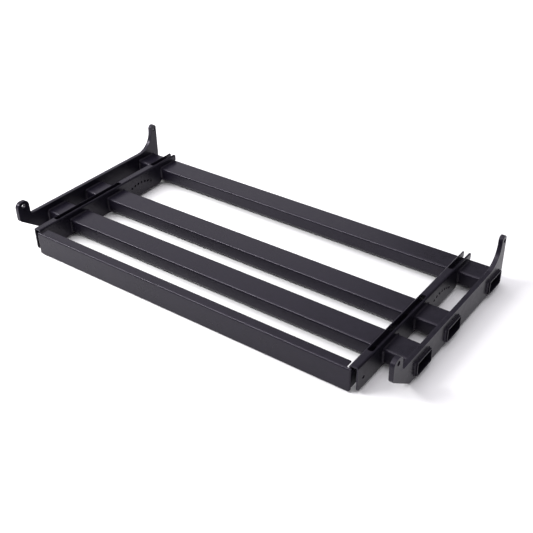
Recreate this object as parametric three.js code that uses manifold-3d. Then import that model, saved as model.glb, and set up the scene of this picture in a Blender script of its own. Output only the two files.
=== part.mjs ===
// Hitch cargo carrier: a welded deck frame with a bolted front rail.
//
// Three rectangular tubes run across the carrier and pass through two slotted cross channels and two
// thick end plates, where they are welded. A folded rail closes the front and is bolted to the
// channels. Lengths are in millimetres, +Z is up, +X is to the right and +Y is to the rear. The origin
// is on the plane that the end plates stand on, below the middle of the frame.
import * as THREE from 'three';
import { mergeVertices } from 'three/addons/utils/BufferGeometryUtils.js';
import Module from 'manifold-3d';

// Overall frame
const frameDepth = 580;
const tubeLength = 1200;
const assemblyGap = 0.3;

// Deck tubes, 70 x 40 x 3
const tubeWidth = 70;
const tubeHeight = 40;
const tubeWall = 3;
const tubeCorner = 6;
const tubeTop = 55;
const tubeBottom = tubeTop - tubeHeight;
const tubeCentres = { front: -141, middle: 6, rear: 237 };

// End plates, 12 mm thick, with a pin ear at each end
const plateThickness = 12;
const plateOuterFace = tubeLength / 2 - 7;
const plateInnerFace = plateOuterFace - plateThickness;
const plateTop = 75;
const plateBottom = 7;
const plateFront = -276;
const plateRear = frameDepth / 2;
const plateCorner = 12;
const plateSlope = { frontHeight: 67, bottomStart: -195 };
const frontEar = { width: 40, top: 121, corner: 17, foot: 9, hole: { y: -256, z: 107, radius: 6 } };
const rearEar = { width: 24, top: 149, foot: 57.5, hole: { y: 279, z: 134, radius: 5.5 } };

// Cross channels, folded from 4 mm sheet
const channelWidth = 23;
const channelWall = 4;
const channelBend = 5;
const channelInnerFace = 490.5;
const channelOuterFace = channelInnerFace + channelWidth;
const channelTop = plateTop;
const channelBottom = 8;
const channelFront = -285;
const webFront = -272;
const channelRear = 272.5;
const channelTip = 8;
const frontSlot = { start: -219, end: 37 };
const rearSlotStart = 174;
const holeArc = { y: 105, z: -53, radius: 100, holeRadius: 3.5, count: 7, first: 109, last: 61 };

// Front rail, folded from 3 mm sheet
const railSheet = 3;
const railBend = 5;
const railFront = -frameDepth / 2;
const railTop = 67;
const railBottom = 0;
const railHalfLength = channelInnerFace + channelWall + assemblyGap + railSheet;
const railCorner = 13;
const railTopFlange = { depth: 27.5, halfLength: 484 };
const railBottomFlange = { depth: 20, halfLength: 470 };
const railEndFlange = { top: 60, bottom: 15, rear: -246, slope: 20 };

// Rail fasteners, M8
const railScrew = { y: -260, z: 34, shank: 4, clearance: 4.5, head: 7, headHeight: 4.5, socket: 2.9 };
const washer = { radius: 8, thickness: 1.6 };
const nut = { acrossFlats: 13, thickness: 6.5 };
const threadEnd = 6;

// Weld beads
const weldLeg = 4;
const weldRoot = 1;

const wasm = await Module();
wasm.setup();

const powderCoat = () => new THREE.MeshStandardMaterial({ color: 0x2a292e, roughness: 0.48, metalness: 0.2 });
const weldCoat = () => new THREE.MeshStandardMaterial({ color: 0x302f34, roughness: 0.4, metalness: 0.25 });
const blackSteel = () => new THREE.MeshStandardMaterial({ color: 0x3a3b3e, roughness: 0.35, metalness: 0.85 });

// A geometry as a manifold solid.
function toSolid(geometry) {
  const bare = geometry.clone();
  bare.deleteAttribute('normal');
  bare.deleteAttribute('uv');
  const merged = mergeVertices(bare, 1e-4);
  return new wasm.Manifold(new wasm.Mesh({
    numProp: 3,
    vertProperties: Float32Array.from(merged.attributes.position.array),
    triVerts: Uint32Array.from(merged.index.array),
  }));
}

// A manifold solid as a geometry.
function toGeometry(solid) {
  const mesh = solid.getMesh();
  const geometry = new THREE.BufferGeometry();
  geometry.setAttribute('position', new THREE.BufferAttribute(mesh.vertProperties, 3));
  geometry.setIndex(new THREE.BufferAttribute(mesh.triVerts, 1));
  geometry.computeVertexNormals();
  return geometry;
}

// Extrusions of a flat outline along one axis, from the lower to the upper coordinate.
function extrude(shape, length, curveSegments) {
  return new THREE.ExtrudeGeometry(shape, { depth: length, bevelEnabled: false, curveSegments });
}

function alongX(shape, from, to, curveSegments = 6) {
  const turn = new THREE.Matrix4().set(0, 0, 1, from, 1, 0, 0, 0, 0, 1, 0, 0, 0, 0, 0, 1);
  return toSolid(extrude(shape, to - from, curveSegments).applyMatrix4(turn));
}

function alongY(shape, from, to, curveSegments = 6) {
  const turn = new THREE.Matrix4().set(1, 0, 0, 0, 0, 0, -1, to, 0, 1, 0, 0, 0, 0, 0, 1);
  return toSolid(extrude(shape, to - from, curveSegments).applyMatrix4(turn));
}

function alongZ(shape, from, to, curveSegments = 6) {
  const lift = new THREE.Matrix4().makeTranslation(0, 0, from);
  return toSolid(extrude(shape, to - from, curveSegments).applyMatrix4(lift));
}

function box(x0, x1, y0, y1, z0, z1) {
  const geometry = new THREE.BoxGeometry(x1 - x0, y1 - y0, z1 - z0);
  geometry.translate((x0 + x1) / 2, (y0 + y1) / 2, (z0 + z1) / 2);
  return toSolid(geometry);
}

// A closed outline through corners given as [u, v, radius], each rounded by an arc of its radius.
function roundedOutline(corners) {
  const shape = new THREE.Shape();
  corners.forEach(([u, v, radius], i) => {
    const corner = new THREE.Vector2(u, v);
    const before = corners[(i + corners.length - 1) % corners.length];
    const after = corners[(i + 1) % corners.length];
    const back = new THREE.Vector2(before[0], before[1]).sub(corner).normalize();
    const ahead = new THREE.Vector2(after[0], after[1]).sub(corner).normalize();
    const half = Math.acos(THREE.MathUtils.clamp(back.dot(ahead), -1, 1)) / 2;
    const start = back.clone().multiplyScalar(radius / Math.tan(half)).add(corner);
    if (i === 0) {
      shape.moveTo(start.x, start.y);
    } else {
      shape.lineTo(start.x, start.y);
    }
    if (radius > 0) {
      const end = ahead.clone().multiplyScalar(radius / Math.tan(half)).add(corner);
      const centre = back.clone().add(ahead).setLength(radius / Math.sin(half)).add(corner);
      const from = Math.atan2(start.y - centre.y, start.x - centre.x);
      const to = Math.atan2(end.y - centre.y, end.x - centre.x);
      shape.absarc(centre.x, centre.y, radius, from, to, back.cross(ahead) > 0);
    }
  });
  return shape;
}

function roundedRectangle(u0, v0, u1, v1, radius) {
  return roundedOutline([[u0, v0, radius], [u1, v0, radius], [u1, v1, radius], [u0, v1, radius]]);
}

function circle(u, v, radius) {
  const shape = new THREE.Shape();
  shape.absarc(u, v, radius, 0, Math.PI * 2, false);
  return shape;
}

// The outline of a deck tube in the YZ plane, grown by a margin on every side.
function tubeOutline(centre, margin) {
  const half = tubeWidth / 2 + margin;
  return roundedRectangle(centre - half, tubeBottom - margin, centre + half, tubeTop + margin,
    tubeCorner + margin);
}

// A deck tube: a hollow section with open ends.
function deckTube(centre) {
  const shape = tubeOutline(centre, 0);
  shape.holes.push(tubeOutline(centre, -tubeWall));
  return alongX(shape, -tubeLength / 2, tubeLength / 2, 4);
}

// An end plate: one thick profile with a short ear in front, a tall ear behind, and three windows
// that the tubes pass through.
function endPlate() {
  const earBack = plateFront + frontEar.width;
  const earFront = plateRear - rearEar.width;
  const shape = roundedOutline([
    [plateFront, plateSlope.frontHeight, plateCorner],
    [plateSlope.bottomStart, plateBottom, plateCorner],
    [plateRear, plateBottom, plateCorner],
    [plateRear, rearEar.top, rearEar.width / 2 - 0.01],
    [earFront, rearEar.top, rearEar.width / 2 - 0.01],
    [earFront, plateTop, rearEar.foot],
    [earBack, plateTop, frontEar.foot],
    [earBack, frontEar.top, frontEar.corner],
    [plateFront, frontEar.top, frontEar.corner],
  ]);
  for (const { y, z, radius } of [frontEar.hole, rearEar.hole]) {
    shape.holes.push(circle(y, z, radius));
  }
  for (const centre of Object.values(tubeCentres)) {
    shape.holes.push(tubeOutline(centre, assemblyGap));
  }
  return alongX(shape, plateInnerFace, plateOuterFace, 10);
}

// The side view of a channel wall. It wraps the front and middle tubes, and stops at the rear tube,
// which it only covers on top.
function channelWallOutline() {
  const rearTubeFront = tubeCentres.rear - tubeWidth / 2 - assemblyGap;
  const overRearTube = tubeTop + assemblyGap;
  const shape = roundedOutline([
    [channelFront, channelBottom, channelTip],
    [rearTubeFront, channelBottom, 14],
    [rearTubeFront, overRearTube, tubeCorner + assemblyGap],
    [channelRear, overRearTube, 0],
    [channelRear, channelTop, channelTip],
    [channelFront, channelTop, webFront - channelFront],
  ]);
  shape.holes.push(tubeOutline(tubeCentres.front, assemblyGap));
  shape.holes.push(tubeOutline(tubeCentres.middle, assemblyGap));
  shape.holes.push(circle(railScrew.y, railScrew.z, railScrew.clearance));
  for (let i = 0; i < holeArc.count; i += 1) {
    const turn = THREE.MathUtils.lerp(holeArc.first, holeArc.last, i / (holeArc.count - 1));
    const angle = THREE.MathUtils.degToRad(turn);
    const y = holeArc.y + holeArc.radius * Math.cos(angle);
    const z = holeArc.z + holeArc.radius * Math.sin(angle);
    shape.holes.push(circle(y, z, holeArc.holeRadius));
  }
  return shape;
}

// A cross channel: an inverted U whose web is slotted, so that only a front cap and a middle cap
// join the two walls.
function crossChannel() {
  const [inner, outer] = [channelInnerFace, channelOuterFace];
  const below = -tubeHeight;
  const section = roundedRectangle(inner, below, outer, channelTop, channelBend);
  const hollow = roundedRectangle(inner + channelWall, below - 10, outer - channelWall,
    channelTop - channelWall, channelBend - channelWall);
  let solid = alongX(channelWallOutline(), inner, outer, 5);
  solid = solid.intersect(alongY(section, channelFront - 5, channelRear + 5, 3));
  solid = solid.subtract(alongY(hollow, channelFront - 10, channelRear + 10, 2));
  for (const [start, end] of [[frontSlot.start, frontSlot.end], [rearSlotStart, channelRear + 20]]) {
    solid = solid.subtract(box(inner + channelWall, outer - channelWall, start, end,
      channelTop - 2 * channelWall, channelTop + 5));
  }
  return solid;
}

// The same solid on the other side of the carrier.
function mirrorX(solid) {
  const geometry = toGeometry(solid);
  geometry.scale(-1, 1, 1);
  const index = geometry.index.array;
  for (let i = 0; i < index.length; i += 3) {
    [index[i], index[i + 1]] = [index[i + 1], index[i]];
  }
  return toSolid(geometry);
}

// An end flange of the front rail. It reaches into the channel and lies against its inner wall.
function railEndFlangeSolid() {
  const root = railFront + railSheet - 1;
  const flange = roundedOutline([
    [root, railEndFlange.bottom, 0],
    [railEndFlange.rear, railEndFlange.bottom, 8],
    [railEndFlange.rear, railEndFlange.top - railEndFlange.slope, 6],
    [railEndFlange.rear - railEndFlange.slope, railEndFlange.top, 6],
    [root, railEndFlange.top, 0],
  ]);
  flange.holes.push(circle(railScrew.y, railScrew.z, railScrew.clearance));
  return alongX(flange, railHalfLength - railSheet, railHalfLength, 5);
}

// The front rail: a tall face with flanges folded back along its top, its bottom and both ends. The
// top and bottom flanges stop short of the ends, which leaves a relief at each corner.
function frontRail() {
  const back = railFront + railTopFlange.depth;
  const half = railHalfLength;
  const middle = (railTop + railBottom) / 2;
  const outside = roundedRectangle(railFront, railBottom, back + 40, railTop, railBend);
  const inside = roundedRectangle(railFront + railSheet, railBottom + railSheet, back + 50,
    railTop - railSheet, railBend - railSheet);
  let solid = alongX(outside, -half, half, 4).subtract(alongX(inside, -half - 5, half + 5, 4));
  solid = solid.subtract(box(-half - 5, half + 5, back, back + 60, middle, railTop + 5));
  solid = solid.subtract(box(-half - 5, half + 5, railFront + railBottomFlange.depth, back + 60,
    railBottom - 5, middle));
  const topEnd = box(railTopFlange.halfLength, half + 5, railFront + railBend, back + 60,
    railTop - 7, railTop + 5);
  const bottomEnd = box(railBottomFlange.halfLength, half + 5, railFront + railBend, back + 60,
    railBottom - 5, railBottom + 7);
  const flange = railEndFlangeSolid();
  solid = solid.subtract(topEnd).subtract(mirrorX(topEnd));
  solid = solid.subtract(bottomEnd).subtract(mirrorX(bottomEnd));
  solid = solid.add(flange).add(mirrorX(flange));
  const front = roundedOutline([
    [-half, railBottom, railCorner],
    [half, railBottom, railCorner],
    [half, railTop + 5, 0],
    [-half, railTop + 5, 0],
  ]);
  const plan = roundedRectangle(-half, railFront, half, railFront + 120, railBend - 1);
  solid = solid.intersect(alongY(front, railFront - 5, railFront + 120, 5));
  return solid.intersect(alongZ(plan, railBottom - 5, railTop + 10, 3));
}

// A round-headed screw with a hexagon socket, lying along X with its head inside the channel.
function railScrewSolid() {
  const seat = railHalfLength + assemblyGap;
  const grip = channelWall + railSheet + washer.thickness + nut.thickness;
  const tip = seat - grip - threadEnd;
  const { shank, head, headHeight, socket } = railScrew;
  const profile = [
    [0, tip], [shank - 0.8, tip], [shank, tip + 0.8], [shank, seat], [head, seat],
    [head, seat + 1.2], [head * 0.86, seat + 3], [head * 0.6, seat + headHeight],
    [0, seat + headHeight],
  ];
  const body = new THREE.LatheGeometry(profile.map(([r, x]) => new THREE.Vector2(r, x)), 20);
  const key = new THREE.CylinderGeometry(socket, socket, 4, 6);
  key.translate(0, seat + headHeight, 0);
  const turn = new THREE.Matrix4().set(0, 1, 0, 0, 1, 0, 0, railScrew.y, 0, 0, -1, railScrew.z,
    0, 0, 0, 1);
  return toSolid(body.applyMatrix4(turn)).subtract(toSolid(key.applyMatrix4(turn)));
}

// A flat ring or nut around the screw, with its outboard face at x.
function aroundScrew(shape, x, thickness) {
  shape.holes.push(circle(railScrew.y, railScrew.z, railScrew.shank + assemblyGap));
  return alongX(shape, x - thickness, x, 10);
}

function railWasherSolid() {
  const face = channelInnerFace - assemblyGap;
  return aroundScrew(circle(railScrew.y, railScrew.z, washer.radius), face, washer.thickness);
}

function railNutSolid() {
  const face = channelInnerFace - washer.thickness - 2 * assemblyGap;
  const corner = nut.acrossFlats / Math.sqrt(3);
  const corners = [];
  for (let i = 0; i < 6; i += 1) {
    const angle = (i * Math.PI) / 3;
    corners.push([railScrew.y + corner * Math.cos(angle), railScrew.z + corner * Math.sin(angle), 0]);
  }
  return aroundScrew(roundedOutline(corners), face, nut.thickness);
}

// A fillet weld around a tube: its foot is on the plate at x, and it leans towards dir (1 outboard,
// -1 inboard), where it meets the tube.
function weldRing(centre, x, dir) {
  const foot = tubeOutline(centre, assemblyGap + weldLeg);
  foot.holes.push(tubeOutline(centre, assemblyGap));
  const start = dir > 0 ? x + assemblyGap : x - assemblyGap - weldLeg;
  const bevel = taperedBlock(centre, dir > 0 ? start + weldLeg : start, -dir);
  return alongX(foot, start, start + weldLeg, 2).intersect(bevel);
}

// A block around a tube that is narrowest at x and widens towards dir.
function taperedBlock(centre, x, dir) {
  const middle = (tubeTop + tubeBottom) / 2;
  const spread = weldLeg + 0.5;
  const ring = (grow, at) => tubeOutline(centre, assemblyGap + weldRoot).getPoints(2).map((p) => [
    at, p.x + grow * Math.sign(p.x - centre), p.y + grow * Math.sign(p.y - middle),
  ]);
  const narrow = ring(0, x);
  const wide = ring(spread, x + dir * spread);
  return toSolid(dir > 0 ? loft(narrow, wide) : loft(wide, narrow));
}

// A closed solid between two loops of equal length, the first at the lower x.
function loft(low, high) {
  const count = low.length;
  const caps = THREE.ShapeUtils.triangulateShape(low.map(([, y, z]) => new THREE.Vector2(y, z)), []);
  const index = [];
  for (const [a, b, c] of caps) {
    index.push(a, c, b, a + count, b + count, c + count);
  }
  for (let i = 0; i < count; i += 1) {
    const j = (i + 1) % count;
    index.push(i, j, j + count, i, j + count, i + count);
  }
  const geometry = new THREE.BufferGeometry();
  geometry.setAttribute('position', new THREE.Float32BufferAttribute([...low, ...high].flat(), 3));
  geometry.setIndex(index);
  return geometry;
}

// The carrier, with one named mesh for each piece.
const carrier = new THREE.Group();

function addPiece(name, solid, material) {
  const mesh = new THREE.Mesh(toGeometry(solid), material);
  mesh.name = name;
  carrier.add(mesh);
}

function addPair(name, solid, material) {
  addPiece(`${name}_right`, solid, material());
  addPiece(`${name}_left`, mirrorX(solid), material());
}

for (const [place, centre] of Object.entries(tubeCentres)) {
  addPiece(`deck_tube_${place}`, deckTube(centre), powderCoat());
}
addPair('end_plate', endPlate(), powderCoat);
addPair('cross_channel', crossChannel(), powderCoat);
addPiece('front_rail', frontRail(), powderCoat());
addPair('rail_screw', railScrewSolid(), blackSteel);
addPair('rail_washer', railWasherSolid(), blackSteel);
addPair('rail_nut', railNutSolid(), blackSteel);

// Each tube is welded on the inboard and outboard side of both channels and both end plates. The
// channels stop over the rear tube, so their welds there run only in front of the tube and over it.
const rearSeam = {
  start: tubeCentres.rear - tubeWidth,
  end: channelRear - 4,
  bottom: tubeBottom + 8,
  top: channelTop,
};
for (const [place, centre] of Object.entries(tubeCentres)) {
  const seams = {
    channel_inboard: weldRing(centre, channelInnerFace, -1),
    channel_outboard: weldRing(centre, channelOuterFace, 1),
    plate_inboard: weldRing(centre, plateInnerFace, -1),
    plate_outboard: weldRing(centre, plateOuterFace, 1),
  };
  for (const [seam, ring] of Object.entries(seams)) {
    const open = place === 'rear' && seam.startsWith('channel');
    const kept = box(0, tubeLength / 2, rearSeam.start, rearSeam.end, rearSeam.bottom, rearSeam.top);
    addPair(`weld_${place}_${seam}`, open ? ring.intersect(kept) : ring, weldCoat);
  }
}

export default carrier;
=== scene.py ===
import math

import bmesh
import bpy
from mathutils import Matrix, Quaternion, Vector


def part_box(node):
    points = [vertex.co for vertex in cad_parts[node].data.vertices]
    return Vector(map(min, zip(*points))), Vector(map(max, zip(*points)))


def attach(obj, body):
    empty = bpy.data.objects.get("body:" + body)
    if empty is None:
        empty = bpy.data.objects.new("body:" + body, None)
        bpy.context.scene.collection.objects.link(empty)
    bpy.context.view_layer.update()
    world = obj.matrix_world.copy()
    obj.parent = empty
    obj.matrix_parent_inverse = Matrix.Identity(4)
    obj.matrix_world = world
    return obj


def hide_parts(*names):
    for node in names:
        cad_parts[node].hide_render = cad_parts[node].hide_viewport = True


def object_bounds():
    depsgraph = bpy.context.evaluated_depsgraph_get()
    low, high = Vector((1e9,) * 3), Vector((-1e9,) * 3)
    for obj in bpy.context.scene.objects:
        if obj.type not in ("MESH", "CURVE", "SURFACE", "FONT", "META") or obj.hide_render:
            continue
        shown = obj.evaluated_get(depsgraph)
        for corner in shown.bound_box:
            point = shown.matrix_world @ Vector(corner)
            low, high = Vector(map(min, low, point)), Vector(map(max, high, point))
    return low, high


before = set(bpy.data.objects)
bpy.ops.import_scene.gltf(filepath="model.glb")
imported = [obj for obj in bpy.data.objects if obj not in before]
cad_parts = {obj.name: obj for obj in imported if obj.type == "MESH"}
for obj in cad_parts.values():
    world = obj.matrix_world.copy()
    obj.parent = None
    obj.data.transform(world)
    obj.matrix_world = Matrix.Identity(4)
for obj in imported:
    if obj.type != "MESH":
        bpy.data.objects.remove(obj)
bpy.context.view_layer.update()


# ---------------------------------------------------------------------------------------------
# Deck tubes: three lengths of 70 x 40 x 3 steel tube with rounded corners, sawn square and left open.
# Powder coated after welding in a satin, faintly violet black, finely pebbled and thinner on edges; the
# rims are painted lighter, partly for the thin coat and partly as a painted highlight.
mm = 0.001


class Wire:
    """A shader socket. Sums, differences and products of wires and numbers add Math nodes."""

    def __init__(self, tree, socket):
        self.tree = tree
        self.socket = socket

    def node(self, kind, settings, inputs, output=0):
        """A new node with its settings made first, then its inputs set or linked."""
        made = self.tree.nodes.new(kind)
        for name, value in settings.items():
            if name == "stops":
                ramp = made.color_ramp
                for stop, (place, shade) in zip(ramp.elements, value):
                    stop.position = place
                    stop.color = (shade, shade, shade, 1)
            else:
                setattr(made, name, value)
        for key, value in inputs.items():
            if isinstance(value, Wire):
                self.tree.links.new(value.socket, made.inputs[key])
            else:
                made.inputs[key].default_value = value
        return Wire(self.tree, made.outputs[output])

    def maths(self, operation, a, b):
        return self.node("ShaderNodeMath", {"operation": operation}, {0: a, 1: b})

    def __add__(self, other):
        return self.maths("ADD", self, other)

    __radd__ = __add__

    def __sub__(self, other):
        return self.maths("SUBTRACT", self, other)

    def __rsub__(self, other):
        return self.maths("SUBTRACT", other, self)

    def __mul__(self, other):
        return self.maths("MULTIPLY", self, other)

    __rmul__ = __mul__

    def noise(self, size, detail=2.0, roughness=0.5):
        """Noise of 0 to 1 whose blotches are about size metres across."""
        inputs = {"Vector": self, "Scale": 1 / size, "Detail": detail, "Roughness": roughness}
        return self.node("ShaderNodeTexNoise", {}, inputs)

    def ramp(self, low, high):
        """0 below low, 1 above high."""
        return self.node("ShaderNodeValToRGB", {"stops": [(low, 0.0), (high, 1.0)]}, {"Fac": self})

    def blend(self, dark, light):
        """A colour from dark where this wire is 0 to light where it is 1."""
        inputs = {0: self, 6: (*dark, 1), 7: (*light, 1)}
        return self.node("ShaderNodeMix", {"data_type": "RGBA"}, inputs, 2)

    def bump(self, strength, distance, below=None):
        """A normal tilted by this wire's relief, on top of the normal below."""
        inputs = {"Height": self, "Strength": strength, "Distance": distance}
        if below is not None:
            inputs["Normal"] = below
        return self.node("ShaderNodeBump", {}, inputs)


def new_finish(name):
    """An empty Principled material, with a wire of positions on the object."""
    material = bpy.data.materials.new(name)
    material.use_nodes = True
    tree = material.node_tree
    surface = tree.nodes["Principled BSDF"]
    place = tree.nodes.new("ShaderNodeTexCoord").outputs["Object"]
    return material, surface, Wire(tree, place)


def connect(surface, **wires):
    """Links each wire to the surface's socket of that name."""
    for name, wire in wires.items():
        wire.tree.links.new(wire.socket, surface.inputs[name.replace("_", " ")])


patch = {"cloud": 160 * mm, "mottle": 18 * mm, "dust": 6 * mm,
         "grain": 2.2 * mm, "speck": 1.6 * mm, "pore": 0.6 * mm}
pore_depth = 0.1 * mm
peel_depth = 0.35 * mm


def powder_coat(name, dark, light, rough, peel):
    """A satin coat: the colour drifts from dark to light, and dust settles on its upper faces."""
    material, surface, place = new_finish(name)
    surface.inputs["Specular IOR Level"].default_value = 0.24
    surface.inputs["Specular Tint"].default_value = (0.93, 0.87, 1.0, 1)
    cloud = place.noise(patch["cloud"], 3.0).ramp(0.32, 0.70)
    speck = place.noise(patch["speck"], 1.0).ramp(0.55, 0.80)
    facing = place.node("ShaderNodeNewGeometry", {}, {}, 1)
    upward = place.node("ShaderNodeSeparateXYZ", {}, {0: facing}, 2).ramp(0.80, 1.0)
    dust = place.noise(patch["dust"], 4.0, 0.7).ramp(0.45, 0.85) * upward
    mottle = place.noise(patch["mottle"], 3.0, 0.6).ramp(0.38, 0.66)
    tone = cloud * 0.30 + mottle * 0.30 + speck * 0.20 + dust * 0.20
    grain = place.noise(patch["grain"], 2.0, 0.55)
    pore = place.noise(patch["pore"], 1.0)
    connect(
        surface,
        Base_Color=tone.blend(dark, light),
        Roughness=cloud * 0.04 + mottle * 0.06 + grain * 0.04 + dust * 0.04 + rough,
        Normal=pore.bump(0.10, pore_depth, grain.bump(peel, peel_depth)),
    )
    return material


frame_coat = (
    powder_coat("satin_black_powder_coat", (0.0046, 0.0040, 0.0072), (0.0105, 0.0088, 0.0155),
                rough=0.24, peel=0.06),
    # The second coat goes on the rims. It is lighter than the first: partly thin coat on edges, partly
    # a painted highlight along them.
    powder_coat("rim_coat_thin_with_painted_highlight", (0.0090, 0.0080, 0.0130), (0.0240, 0.0210, 0.0320),
                rough=0.18, peel=0.03),
)

arc_step = math.radians(7.5)
tube_corner = 6 * mm
tube_wall = 3 * mm
tube_deburr = 0.5 * mm
flat_angle = 0.01
rim_angle = 1.2
rim_segments = 3


def rounded(corners):
    """Points of a closed outline through (u, v, radius) corners, each with an arc of its radius."""
    points = []
    for i, (u, v, radius) in enumerate(corners):
        corner = Vector((u, v))
        back = (Vector(corners[i - 1][:2]) - corner).normalized()
        ahead = (Vector(corners[(i + 1) % len(corners)][:2]) - corner).normalized()
        if radius == 0:
            points.append(corner)
            continue
        half = back.angle(ahead) / 2
        start = corner + back * radius / math.tan(half)
        centre = corner + (back + ahead).normalized() * radius / math.sin(half)
        sweep = math.pi - 2 * half
        turn = -1 if back.cross(ahead) > 0 else 1
        count = max(2, round(sweep / arc_step))
        for k in range(count + 1):
            spin = Matrix.Rotation(turn * sweep * k / count, 2)
            points.append(centre + spin @ (start - centre))
    return points


def rectangle(u0, v0, u1, v1, radius):
    """An outline with four equal rounded corners."""
    return rounded([(u0, v0, radius), (u1, v0, radius), (u1, v1, radius), (u0, v1, radius)])


def disc(u, v, radius, count=32):
    """A round outline of so many points."""
    turns = [2 * math.pi * k / count for k in range(count)]
    return [Vector((u + radius * math.cos(a), v + radius * math.sin(a))) for a in turns]


def flat_sheet(outlines):
    """A bmesh of the flat region inside the first outline and outside the others, facing +Z."""
    curve = bpy.data.curves.new("outline", "CURVE")
    curve.dimensions = "2D"
    curve.fill_mode = "BOTH"
    for points in outlines:
        spline = curve.splines.new("POLY")
        spline.points.add(len(points) - 1)
        for point, (u, v) in zip(spline.points, points):
            point.co = (u, v, 0, 1)
        spline.use_cyclic_u = True
    holder = bpy.data.objects.new("outline", curve)
    mesh = holder.to_mesh()
    sheet = bmesh.new()
    sheet.from_mesh(mesh)
    holder.to_mesh_clear()
    bpy.data.objects.remove(holder)
    bpy.data.curves.remove(curve)
    bmesh.ops.remove_doubles(sheet, verts=sheet.verts, dist=1e-6)
    for face in sheet.faces:
        if face.normal.z < 0:
            face.normal_flip()
    return sheet


def add_piece(name, body, finish, smooth=40):
    """A piece from a bmesh, shaded smooth but for its sharp edges, in place of its CAD node."""
    mesh = bpy.data.meshes.new(name)
    body.to_mesh(mesh)
    body.free()
    for coat in finish:
        mesh.materials.append(coat)
    mesh.shade_smooth()
    mesh.set_sharp_from_angle(angle=math.radians(smooth))
    piece = bpy.data.objects.new(name, mesh)
    bpy.context.scene.collection.objects.link(piece)
    even = piece.modifiers.new("even_shading", "WEIGHTED_NORMAL")
    even.keep_sharp = True
    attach(piece, "root")
    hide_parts(name)


def slab(outlines, thickness, edge):
    """A flat solid with outlines in the XY plane, from z = 0 to its thickness, its rims rounded
    and given the second coat, whose lighter colour is partly thin coat and partly a painted highlight."""
    body = flat_sheet(outlines)
    bmesh.ops.dissolve_limit(body, angle_limit=flat_angle, verts=body.verts, edges=body.edges)
    grown = bmesh.ops.extrude_face_region(body, geom=list(body.faces))
    upper = [v for v in grown["geom"] if isinstance(v, bmesh.types.BMVert)]
    bmesh.ops.translate(body, verts=upper, vec=(0, 0, thickness))
    bmesh.ops.recalc_face_normals(body, faces=body.faces)
    rims = [e for e in body.edges if e.is_manifold and e.calc_face_angle() > rim_angle]
    bmesh.ops.bevel(body, geom=rims, offset=edge, segments=rim_segments, profile=0.5,
                    affect="EDGES", clamp_overlap=False, material=1)
    return body


def crosswise(outlines, x0, x1, edge):
    """A slab whose outlines lie in the YZ plane, from x0 to x1."""
    body = slab(outlines, x1 - x0, edge)
    stand = Matrix(((0, 0, 1, x0), (1, 0, 0, 0), (0, 1, 0, 0), (0, 0, 0, 1)))
    bmesh.ops.transform(body, matrix=stand, verts=body.verts)
    return body


def tube_outline(place, grow):
    """The outline of a deck tube in the YZ plane, grown by a margin all round."""
    low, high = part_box("deck_tube_" + place)
    return rectangle(low.y - grow, low.z - grow, high.y + grow, high.z + grow, tube_corner + grow)


places = ("front", "middle", "rear")
for place in places:
    name = "deck_tube_" + place
    low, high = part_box(name)
    section = [tube_outline(place, 0), tube_outline(place, -tube_wall)]
    add_piece(name, crosswise(section, low.x, high.x, tube_deburr), frame_coat)


# ---------------------------------------------------------------------------------------------
# Cross channels: one blank of 4 mm sheet each, laser cut flat with its slots, windows and holes, then
# folded into an inverted U. The tubes pass through the walls and are welded there.
sides = {"left": -1, "right": 1}
weld_gap = 0.3 * mm
cut_edge = 0.5 * mm
fold = {"radius": 5 * mm, "thickness": 4 * mm, "steps": 6}
channel_corner = {"front": 13 * mm, "tip": 8 * mm, "slot": 5 * mm, "rise": 14 * mm, "tail": 1 * mm}
front_slot = (-219 * mm, 37 * mm)
rear_slot_start = 174 * mm
screw_place = {"y": -260 * mm, "z": 34 * mm, "hole": 4.5 * mm}
hole_arc = {"y": 105 * mm, "z": -53 * mm, "radius": 100 * mm, "hole": 3.5 * mm, "points": 24}
hole_turns = [math.radians(109 - 8 * k) for k in range(7)]


def cut_lines(sheet, axis, lines):
    """Adds edges across a flat sheet at the given values of u (axis 0) or v (axis 1), and leaves
    its vertices and faces in the order of their places."""
    for line in lines:
        point = Vector((0, 0, 0))
        normal = Vector((0, 0, 0))
        point[axis] = line
        normal[axis] = 1
        everything = list(sheet.verts) + list(sheet.edges) + list(sheet.faces)
        bmesh.ops.bisect_plane(sheet, geom=everything, dist=1e-7, plane_co=point, plane_no=normal)
    for index, vert in enumerate(sorted(sheet.verts, key=lambda vert: vert.co[:])):
        vert.index = index
    for index, face in enumerate(sorted(sheet.faces, key=lambda face: face.calc_center_median()[:])):
        face.index = index
    sheet.verts.sort()
    sheet.faces.sort()


def folded(distance, radius, depth):
    """How far a point past a fold's start line runs on, and how far it drops, after a right angle.
    The distance is along the outer face, and the depth is the point's depth below that face."""
    arc = radius * math.pi / 2
    turn = min(max(distance, 0.0), arc) / radius
    run = (radius - depth) * math.sin(turn) + min(distance, 0.0)
    drop = radius - (radius - depth) * math.cos(turn) + max(distance - arc, 0.0)
    return run, drop


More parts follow.
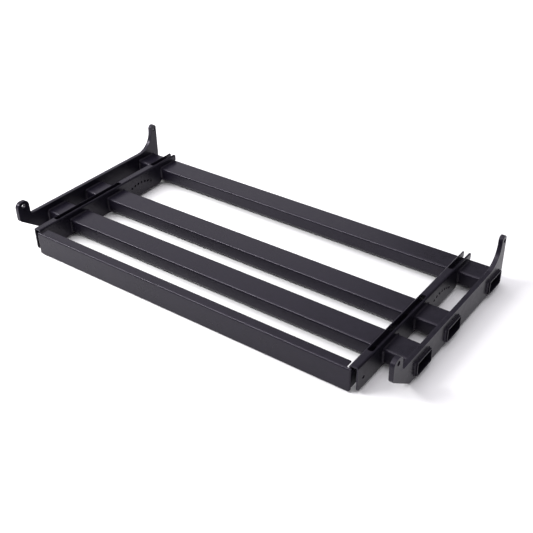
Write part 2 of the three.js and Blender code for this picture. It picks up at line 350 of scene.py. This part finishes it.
def channel(name):
    """A channel's blank, cut and folded to fill the box of its CAD node."""
    low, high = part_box(name)
    rear_tube_low, rear_tube_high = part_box("deck_tube_rear")
    middle = (low.x + high.x) / 2
    radius = fold["radius"]
    web = (high.x - low.x) / 2 - radius
    arc = radius * math.pi / 2

    def across(z):
        """The distance from the blank's centre line to height z on a wall."""
        return web + arc + high.z - radius - z

    slot = (high.x - low.x) / 2 - fold["thickness"]
    foot = across(low.z)
    over = across(rear_tube_high.z + weld_gap)
    notch = rear_tube_low.y - weld_gap
    front_edge = high.z - channel_corner["front"]
    wall = [
        (across(front_edge) - channel_corner["front"], low.y, channel_corner["front"]),
        (foot, low.y, channel_corner["tip"]),
        (foot, notch, channel_corner["rise"]),
        (over, notch, tube_corner),
        (over, high.y, channel_corner["tail"]),
        (slot, high.y, channel_corner["tip"]),
        (slot, rear_slot_start, channel_corner["slot"]),
    ]
    blank = rounded(wall + [(-s, y, r) for s, y, r in reversed(wall)])
    openings = [rectangle(-slot, front_slot[0], slot, front_slot[1], channel_corner["slot"])]
    for hand in (-1, 1):
        for place in ("front", "middle"):
            outline = tube_outline(place, weld_gap)
            openings.append([Vector((hand * across(z), y)) for y, z in outline])
        screw_y, screw_z = screw_place["y"], screw_place["z"]
        openings.append(disc(hand * across(screw_z), screw_y, screw_place["hole"]))
        for turn in hole_turns:
            y = hole_arc["y"] + hole_arc["radius"] * math.cos(turn)
            z = hole_arc["z"] + hole_arc["radius"] * math.sin(turn)
            openings.append(disc(hand * across(z), y, hole_arc["hole"], hole_arc["points"]))
    sheet = slab([blank] + openings, fold["thickness"], cut_edge)
    creases = [web + arc * k / fold["steps"] for k in range(fold["steps"] + 1)]
    cut_lines(sheet, 0, creases + [-s for s in creases])
    for vert in sheet.verts:
        s, y, depth = vert.co
        run, drop = folded(abs(s) - web, radius, depth)
        vert.co = (middle + math.copysign(web + run, s), y, high.z - drop)
    bmesh.ops.recalc_face_normals(sheet, faces=sheet.faces)
    return sheet


for side in sides:
    name = "cross_channel_" + side
    add_piece(name, channel(name), frame_coat)


# ---------------------------------------------------------------------------------------------
# End plates: 12 mm plate, profile cut with a short ear in front, a tall ear behind on a long sweep,
# pin holes in both, and windows for the tubes. Their edges are dressed before coating.
plate_edge = 0.9 * mm
plate_corner = 12 * mm
plate_top = 75 * mm
plate_slope = {"height": 67 * mm, "start": -195 * mm}
front_ear = {"width": 40 * mm, "top": 121 * mm, "corner": 17 * mm, "foot": 9 * mm}
front_ear_hole = (-256 * mm, 107 * mm, 6 * mm)
rear_ear = {"width": 24 * mm, "foot": 57.5 * mm, "corner": 11.99 * mm}
rear_ear_hole = (279 * mm, 134 * mm, 5.5 * mm)

for side in sides:
    name = "end_plate_" + side
    low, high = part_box(name)
    ear_back = low.y + front_ear["width"]
    ear_front = high.y - rear_ear["width"]
    profile = rounded([
        (low.y, plate_slope["height"], plate_corner),
        (plate_slope["start"], low.z, plate_corner),
        (high.y, low.z, plate_corner),
        (high.y, high.z, rear_ear["corner"]),
        (ear_front, high.z, rear_ear["corner"]),
        (ear_front, plate_top, rear_ear["foot"]),
        (ear_back, plate_top, front_ear["foot"]),
        (ear_back, front_ear["top"], front_ear["corner"]),
        (low.y, front_ear["top"], front_ear["corner"]),
    ])
    cuts = [disc(*front_ear_hole), disc(*rear_ear_hole)]
    cuts += [tube_outline(place, weld_gap) for place in places]
    plate = crosswise([profile] + cuts, low.x, high.x, plate_edge)
    add_piece(name, plate, frame_coat)


# ---------------------------------------------------------------------------------------------
# Front rail: one blank of 3 mm sheet, with flanges folded back along the top, the bottom and both
# ends. Its ends pass in front of the channels' inner walls, and their flanges bolt on inside.
rail_fold = {"sheet": 3 * mm, "long": 5 * mm, "end": 4 * mm, "steps": 6}
rail_edge = 0.4 * mm
relief = {"inner": 0.8 * mm, "under": 1 * mm, "over": 1.5 * mm, "end": 3 * mm}
top_flange = {"half": 484 * mm, "depth": 27.5 * mm, "corner": 2 * mm}
bottom_flange = {"half": 470 * mm, "depth": 20 * mm, "corner": 3 * mm}
blank_corner = {"along": 20 * mm, "up": 10 * mm, "lower": 35 * mm, "upper": 10.5 * mm}
end_flange = {"low": 15 * mm, "high": 60 * mm, "back": 40 * mm, "slope": 20 * mm,
              "lower": 8 * mm, "upper": 6 * mm}

low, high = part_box("front_rail")
long_radius, end_radius = rail_fold["long"], rail_fold["end"]
long_arc, end_arc = long_radius * math.pi / 2, end_radius * math.pi / 2
face = {"top": high.z - long_radius, "bottom": low.z + long_radius, "half": high.x - end_radius}
flange_top = face["top"] + long_arc + top_flange["depth"] - long_radius
flange_bottom = face["bottom"] - long_arc - bottom_flange["depth"] + long_radius
flange_end = face["half"] + end_arc + end_flange["back"]
bend_end = face["half"] + end_arc
lip_top = face["top"] + long_arc
lip_bottom = face["bottom"] - long_arc
half_blank = [
    (bottom_flange["half"], flange_bottom, bottom_flange["corner"]),
    (bottom_flange["half"], lip_bottom, relief["inner"]),
    (bend_end - blank_corner["along"], lip_bottom, blank_corner["lower"]),
    (bend_end, lip_bottom + blank_corner["up"], blank_corner["upper"]),
    (bend_end, end_flange["low"], relief["under"]),
    (flange_end, end_flange["low"], end_flange["lower"]),
    (flange_end, end_flange["high"] - end_flange["slope"], end_flange["upper"]),
    (flange_end - end_flange["slope"], end_flange["high"], end_flange["upper"]),
    (bend_end, end_flange["high"], relief["over"]),
    (bend_end, lip_top, relief["end"]),
    (top_flange["half"], lip_top, relief["inner"]),
    (top_flange["half"], flange_top, top_flange["corner"]),
]
blank = rounded(half_blank + [(-u, v, r) for u, v, r in reversed(half_blank)])
screw_across = bend_end + screw_place["y"] - low.y - end_radius
screw_holes = [disc(hand * screw_across, screw_place["z"], screw_place["hole"]) for hand in (-1, 1)]
sheet = slab([blank] + screw_holes, rail_fold["sheet"], rail_edge)
steps = [k / rail_fold["steps"] for k in range(rail_fold["steps"] + 1)]
cut_lines(sheet, 0, [hand * (face["half"] + end_arc * k) for hand in (-1, 1) for k in steps])
cut_lines(sheet, 1, [face["top"] + long_arc * k for k in steps])
cut_lines(sheet, 1, [face["bottom"] - long_arc * k for k in steps])
for vert in sheet.verts:
    u, v, depth = vert.co
    end_run, end_drop = folded(abs(u) - face["half"], end_radius, depth)
    run, drop = folded(max(v - face["top"], face["bottom"] - v), long_radius, depth)
    z = face["top"] + run if v > (low.z + high.z) / 2 else face["bottom"] - run
    vert.co = (math.copysign(face["half"] + end_run, u), low.y + max(drop, end_drop), z)
bmesh.ops.recalc_face_normals(sheet, faces=sheet.faces)
add_piece("front_rail", sheet, frame_coat)


# ---------------------------------------------------------------------------------------------
# Rail fasteners: at each end of the rail an M8 button-head screw from inside the channel, through the
# rail's end flange and the inner wall, to a flat washer and hexagon nut. Black zinc, slightly mottled.
zinc_patch = {"mottle": 4 * mm, "scuff": 0.7 * mm}
scuff_depth = 0.1 * mm
zinc, surface, place_wire = new_finish("black_zinc_steel")
surface.inputs["Metallic"].default_value = 0.9
mottle = place_wire.noise(zinc_patch["mottle"], 3.0, 0.6)
scuff = place_wire.noise(zinc_patch["scuff"], 2.0).ramp(0.45, 0.75)
connect(
    surface,
    Base_Color=(mottle + (scuff - mottle) * 0.3).blend((0.016, 0.016, 0.018), (0.050, 0.050, 0.054)),
    Roughness=mottle * 0.18 + scuff * 0.08 + 0.26,
    Normal=scuff.bump(0.12, scuff_depth),
)

shank = {"radius": 4 * mm, "point": 3 * mm, "plain": 5 * mm, "thread_stop": 6 * mm}
thread = {"pitch": 1.25 * mm, "depth": 0.6 * mm}
head_height = 4.5 * mm
socket = {"radius": 2.9 * mm, "mouth": 3.132 * mm, "lead": 0.3 * mm, "depth": 2.2 * mm}
bore_radius = 4.1 * mm
head_rise = ((0.0, 1.0), (0.25, 1.0), (0.45, 0.97), (0.68, 0.86), (0.88, 0.72), (1.0, 0.58))
ring_count = 48


def ring(body, x, radius, corners=0):
    """A ring of vertices round the screw's axis: a circle, or a polygon with so many corners."""
    verts = []
    for k in range(ring_count):
        a = 2 * math.pi * k / ring_count
        reach = radius
        if corners:
            part = 2 * math.pi / corners
            reach = radius * math.cos(part / 2) / math.cos(a % part - part / 2)
        y = screw_place["y"] + reach * math.cos(a)
        z = screw_place["z"] + reach * math.sin(a)
        verts.append(body.verts.new((x, y, z)))
    return verts


def skin(body, rings):
    """Faces between rings in turn, with the first and last ring closed."""
    for a, b in zip(rings, rings[1:]):
        for k in range(ring_count):
            n = (k + 1) % ring_count
            body.faces.new((a[k], a[n], b[n], b[k]))
    body.faces.new(rings[0])
    body.faces.new(rings[-1])
    bmesh.ops.recalc_face_normals(body, faces=body.faces)


for side, hand in sides.items():
    name = "rail_screw_" + side
    low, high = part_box(name)
    radius = shank["radius"]
    head = (high.y - low.y) / 2
    tip, top = sorted((abs(low.x), abs(high.x)))
    seat = top - head_height
    body = bmesh.new()
    rings = [ring(body, hand * tip, shank["point"])]
    turns = int((seat - tip - shank["thread_stop"]) / thread["pitch"])
    for k in range(turns):
        x = tip + (k + 0.5) * thread["pitch"]
        rings.append(ring(body, hand * x, radius))
        rings.append(ring(body, hand * (x + thread["pitch"] / 2), radius - thread["depth"]))
    rings.append(ring(body, hand * (seat - shank["plain"]), radius))
    rings.append(ring(body, hand * seat, radius))
    rings += [ring(body, hand * (seat + head_height * t), head * r) for t, r in head_rise]
    rings.append(ring(body, hand * top, socket["mouth"]))
    rings.append(ring(body, hand * (top - socket["lead"]), socket["radius"], 6))
    rings.append(ring(body, hand * (top - socket["depth"]), socket["radius"], 6))
    skin(body, rings)
    add_piece(name, body, (zinc,), smooth=32)

    for part, corners, edge in (("rail_washer_", 0, 0.25 * mm), ("rail_nut_", 6, 0.5 * mm)):
        name = part + side
        low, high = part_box(name)
        y, z = screw_place["y"], screw_place["z"]
        outer = disc(y, z, (high.y - low.y) / 2, corners or ring_count)
        body = crosswise([outer, disc(y, z, bore_radius)], low.x, high.x, edge)
        add_piece(name, body, (zinc, zinc), smooth=32)


# ---------------------------------------------------------------------------------------------
# Weld beads: fillet welds where the tubes pass through the channels and the end plates, laid in short
# overlapping ripples with slightly uneven legs, and coated with the frame.
weld_coat = powder_coat("powder_coat_over_weld", (0.0056, 0.0048, 0.0082), (0.0120, 0.0102, 0.0165),
                        rough=0.22, peel=0.16)
bead = {"leg": 3.4 * mm, "ripple": 0.35 * mm, "pitch": 3.2 * mm, "sides": 8, "step": 0.8 * mm,
        "root": 0.3 * mm, "toe": 0.2 * mm, "hollow": 0.22}
run_in = {"length": 3 * mm, "thin": 0.35}
ripple_shift = 0.37
slow_wander = {"reach": 0.25 * mm, "length": 21 * mm}
quick_wander = {"reach": 0.15 * mm, "length": 8.3 * mm}
rear_seam_end = 268.5 * mm
rear_seam_foot = 23 * mm


def walk(points, step, closed):
    """Points at even steps along an outline, each with its outward direction, its distance from
    the start, and the outline's whole length."""
    loop = points + points[:1] if closed else points
    lengths = [(b - a).length for a, b in zip(loop, loop[1:])]
    total = sum(lengths)
    count = round(total / step)
    found = []
    for k in range(count + (0 if closed else 1)):
        want = total * k / count
        i = 0
        while i < len(lengths) - 1 and want > lengths[i]:
            want -= lengths[i]
            i += 1
        along = (loop[i + 1] - loop[i]).normalized()
        found.append((loop[i] + along * want, Vector((along.y, -along.x)), total * k / count, total))
    return found


def weld(name, place, x, hand, seed):
    """A bead round a tube with its foot on the plate face at x, rising towards hand."""
    outline = tube_outline(place, 0)
    partial = place == "rear" and "channel" in name
    if partial:
        outline = [p for p in outline if p.x < rear_seam_end and p.y > rear_seam_foot]
        outline.insert(0, Vector((rear_seam_end, outline[0].y)))
        outline.append(Vector((outline[-1].x, rear_seam_foot)))
    stations = walk(outline, bead["step"], not partial)
    body = bmesh.new()
    rows = []
    for point, out, along, total in stations:
        phase = (along / bead["pitch"] + seed * ripple_shift) % 1
        swell = bead["ripple"] * (1 - (2 * phase - 1) ** 2)
        wander = slow_wander["reach"] * math.sin(along / slow_wander["length"] + seed)
        wander += quick_wander["reach"] * math.sin(along / quick_wander["length"] + 2 * seed)
        leg = bead["leg"] - bead["ripple"] + swell + wander
        if partial:
            taper = min(along, total - along) / run_in["length"]
            leg *= min(1, run_in["thin"] + (1 - run_in["thin"]) * taper)
        row = []
        for k in range(bead["sides"] + 1):
            a = math.pi / 2 * k / bead["sides"]
            bulge = 1 - bead["hollow"] * math.sin(2 * a)
            reach = leg * math.cos(a) * bulge
            rise = leg * math.sin(a) * bulge
            base = point + out * (reach - bead["toe"] * math.sin(a))
            lift = rise - bead["root"] * math.cos(a)
            row.append(body.verts.new((x + hand * lift, base.x, base.y)))
        inner = point - out * bead["root"]
        row.append(body.verts.new((x - hand * bead["root"], inner.x, inner.y)))
        rows.append(row)
    pairs = list(zip(rows, rows[1:]))
    if not partial:
        pairs.append((rows[-1], rows[0]))
    for a, b in pairs:
        for k in range(len(a)):
            n = (k + 1) % len(a)
            body.faces.new((a[k], a[n], b[n], b[k]))
    if partial:
        body.faces.new(rows[0])
        body.faces.new(rows[-1])
    bmesh.ops.recalc_face_normals(body, faces=body.faces)
    add_piece(name, body, (weld_coat,), smooth=50)


seed = 0
for place in places:
    for side, hand in sides.items():
        for carrier, holder in (("channel", "cross_channel_"), ("plate", "end_plate_")):
            low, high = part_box(holder + side)
            inboard, outboard = sorted((abs(low.x), abs(high.x)))
            for seam, face_x, way in (("inboard", inboard, -1), ("outboard", outboard, 1)):
                seed += 1
                name = f"weld_{place}_{carrier}_{seam}_{side}"
                weld(name, place, hand * face_x, hand * way, seed)


# ---------------------------------------------------------------------------------------------
# Studio: a plain pale floor in a white room, lit by an overhead softbox, a long strip light in front
# and a softbox behind on the left. A short telephoto lens looks down from the front right corner.
floor_half = 30.0
floor_drop = 0.5 * mm
floor_patch = 0.5
pale, surface, place_wire = new_finish("pale_floor")
surface.inputs["Roughness"].default_value = 0.9
surface.inputs["Specular IOR Level"].default_value = 0.1
connect(surface, Base_Color=place_wire.noise(floor_patch).blend((0.80, 0.80, 0.80), (0.83, 0.83, 0.83)))
floor_mesh = bpy.data.meshes.new("floor")
floor_corners = [(floor_half * u, floor_half * v, 0) for u, v in ((-1, -1), (1, -1), (1, 1), (-1, 1))]
floor_mesh.from_pydata(floor_corners, [], [(0, 1, 2, 3)])
floor_mesh.materials.append(pale)
floor = bpy.data.objects.new("floor", floor_mesh)
floor.location.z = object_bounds()[0].z - floor_drop
bpy.context.scene.collection.objects.link(floor)

room = bpy.data.worlds.new("white_room")
room.use_nodes = True
room_light = room.node_tree.nodes["Background"]
room_light.inputs["Color"].default_value = (0.96, 0.94, 1.0, 1)
room_light.inputs["Strength"].default_value = 0.33
bpy.context.scene.world = room


def lamp(name, kind, place, aim, **settings):
    """A lamp at a place, shining along aim."""
    light = bpy.data.lights.new(name, kind)
    for key, value in settings.items():
        setattr(light, key, value)
    holder = bpy.data.objects.new(name, light)
    holder.location = place
    holder.rotation_mode = "QUATERNION"
    holder.rotation_quaternion = Vector(aim).to_track_quat("-Z", "Y")
    bpy.context.scene.collection.objects.link(holder)


lamp("overhead_softbox", "SUN", (0, 0, 0), (0.15, 0.20, -1),
     energy=2.75, color=(0.98, 0.96, 1.0), angle=math.radians(90))
lamp("front_strip_light", "AREA", (-2.4, -1.75, 2.0), (0, 0.66, -0.75),
     shape="RECTANGLE", size=3.6, size_y=0.2, energy=150)
lamp("back_left_softbox", "AREA", (-2.05, 2.15, 1.75), (2.05, -2.15, -1.75),
     shape="RECTANGLE", size=2.6, size_y=1.4, energy=11, color=(0.96, 0.93, 1.0))

lens = bpy.data.cameras.new("camera")
lens.sensor_width = 36.0
lens.lens = 58.75
camera = bpy.data.objects.new("camera", lens)
camera.location = (1.2128, -1.5384, 1.2884)
azimuth, elevation, roll = (math.radians(a) for a in (36.82, 33.64, 1.225))
level = math.cos(elevation)
ahead = Vector((-math.sin(azimuth) * level, math.cos(azimuth) * level, -math.sin(elevation)))
camera.rotation_mode = "QUATERNION"
camera.rotation_quaternion = ahead.to_track_quat("-Z", "Y") @ Quaternion((0, 0, 1), -roll)
bpy.context.scene.collection.objects.link(camera)
bpy.context.scene.camera = camera
bpy.context.scene.view_settings.view_transform = "Standard"
